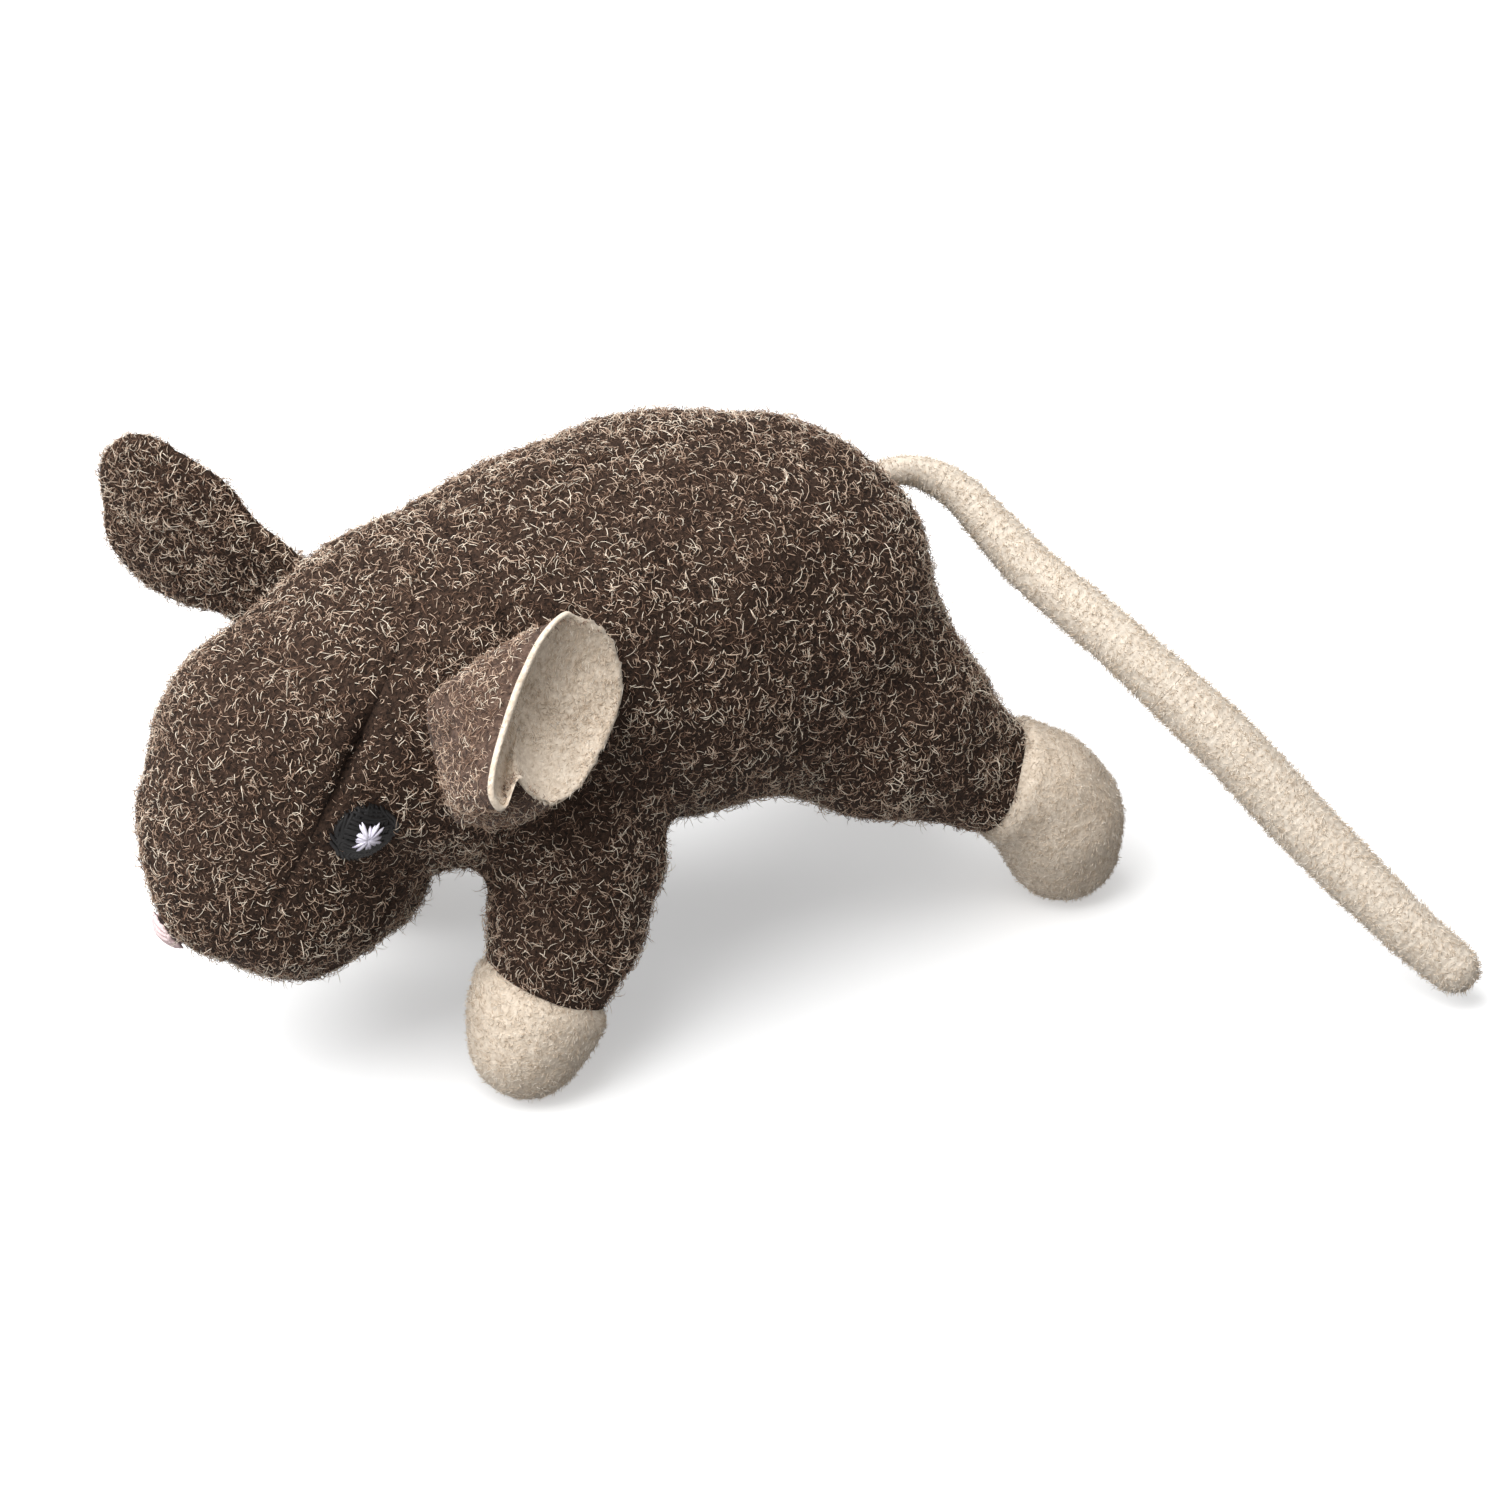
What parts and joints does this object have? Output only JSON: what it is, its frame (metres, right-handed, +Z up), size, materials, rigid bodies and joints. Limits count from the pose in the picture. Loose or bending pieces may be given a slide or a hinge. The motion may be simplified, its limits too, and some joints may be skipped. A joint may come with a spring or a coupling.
{
  "type": "soft toy mouse",
  "caption": "Sewn and stuffed toy mouse with curly brown pile, cream paws, ear linings and a long soft tail, standing on its paws.",
  "frame": {"origin": "on the ground, under the middle of the whole toy's box, tail included", "axes": "+X towards the nose, +Y towards the mouse's left, +Z up"},
  "size_m": [0.1465, 0.1106, 0.0688],
  "materials": {
    "wool_cloth": "short curly pile, mottled dark and grey brown",
    "suede": "matt microsuede with a fine nap, cream",
    "ribbed_suede": "matt, finely ribbed across, with a short nap, cream",
    "eye_thread": "satin-stitched black thread",
    "highlight_thread": "pale embroidery thread with a slight shine",
    "nose_thread": "satin-stitched pink thread",
    "stuffing": "loose polyester fibre",
    "squeaker_plastic": "soft moulded, matt"
  },
  "bodies": {
    "body": {"left_side_panel": "wool_cloth", "right_side_panel": "wool_cloth", "belly_gusset": "wool_cloth", "body_stuffing": "stuffing", "squeaker_bulb": "squeaker_plastic", "squeaker_plug": "squeaker_plastic", "squeaker_reed": "squeaker_plastic"},
    "head": {"crown_gusset": "wool_cloth", "left_cheek_panel": "wool_cloth", "right_cheek_panel": "wool_cloth", "head_stuffing": "stuffing", "left_eye": "eye_thread", "right_eye": "eye_thread", "left_eye_highlight": "highlight_thread", "right_eye_highlight": "highlight_thread", "nose": "nose_thread"},
    "left_ear": {"left_ear_back": "wool_cloth", "left_ear_lining": "suede"},
    "right_ear": {"right_ear_back": "wool_cloth", "right_ear_lining": "suede"},
    "front_left_leg": {"front_left_leg_sleeve": "wool_cloth", "front_left_paw": "suede", "front_left_leg_stuffing": "stuffing"},
    "front_right_leg": {"front_right_leg_sleeve": "wool_cloth", "front_right_paw": "suede", "front_right_leg_stuffing": "stuffing"},
    "hind_left_leg": {"hind_left_leg_sleeve": "wool_cloth", "hind_left_foot": "suede", "hind_left_leg_stuffing": "stuffing"},
    "hind_right_leg": {"hind_right_leg_sleeve": "wool_cloth", "hind_right_foot": "suede", "hind_right_leg_stuffing": "stuffing"},
    "tail_base": {"tail_base_cover": "ribbed_suede", "tail_base_filling": "stuffing"},
    "tail_middle": {"tail_middle_cover": "ribbed_suede", "tail_middle_filling": "stuffing"},
    "tail_tip": {"tail_tip_cover": "ribbed_suede", "tail_tip_filling": "stuffing"}
  },
  "joints": [
    {"name": "head_nod", "type": "hinge", "parent": "body", "child": "head", "pos_m": [0.034, -0.01398, 0.0435], "axis": [0, 1, 0], "range_deg": [-5, 5], "stiffness_Nm_per_rad": 0.25},
    {"name": "left_ear_fold", "type": "hinge", "parent": "head", "child": "left_ear", "pos_m": [0.0445, 0.00752, 0.0474], "axis": [-0.0798, 0.2394, -0.9676], "range_deg": [0, 35], "stiffness_Nm_per_rad": 0.02},
    {"name": "right_ear_fold", "type": "hinge", "parent": "head", "child": "right_ear", "pos_m": [0.0445, -0.03548, 0.0474], "axis": [0.0798, 0.2394, 0.9676], "range_deg": [-35, 10], "stiffness_Nm_per_rad": 0.02},
    {"name": "front_left_leg_swing", "type": "hinge", "parent": "body", "child": "front_left_leg", "pos_m": [0.0255, 0.00152, 0.029], "axis": [0, 1, 0], "range_deg": [-15, 15], "stiffness_Nm_per_rad": 0.15},
    {"name": "front_right_leg_swing", "type": "hinge", "parent": "body", "child": "front_right_leg", "pos_m": [0.0255, -0.02948, 0.029], "axis": [0, 1, 0], "range_deg": [-15, 15], "stiffness_Nm_per_rad": 0.15},
    {"name": "hind_left_leg_swing", "type": "hinge", "parent": "body", "child": "hind_left_leg", "pos_m": [-0.013, -0.00198, 0.033], "axis": [0, 1, 0], "range_deg": [-12, 12], "stiffness_Nm_per_rad": 0.2},
    {"name": "hind_right_leg_swing", "type": "hinge", "parent": "body", "child": "hind_right_leg", "pos_m": [-0.013, -0.02598, 0.033], "axis": [0, 1, 0], "range_deg": [-12, 12], "stiffness_Nm_per_rad": 0.2},
    {"name": "tail_swing", "type": "hinge", "parent": "body", "child": "tail_base", "pos_m": [-0.0274, -0.01348, 0.0544], "axis": [0, 0, 1], "range_deg": [-10, 35], "stiffness_Nm_per_rad": 0.05},
    {"name": "tail_curl", "type": "hinge", "parent": "tail_base", "child": "tail_middle", "pos_m": [-0.038, 0.00002, 0.0448], "axis": [0.8336, 0.5524, 0], "range_deg": [-5, 25], "stiffness_Nm_per_rad": 0.05},
    {"name": "tail_tip_curl", "type": "hinge", "parent": "tail_middle", "child": "tail_tip", "pos_m": [-0.0574, 0.03302, 0.0195], "axis": [0.8336, 0.5524, 0], "range_deg": [-5, 25], "stiffness_Nm_per_rad": 0.04}
  ]
}
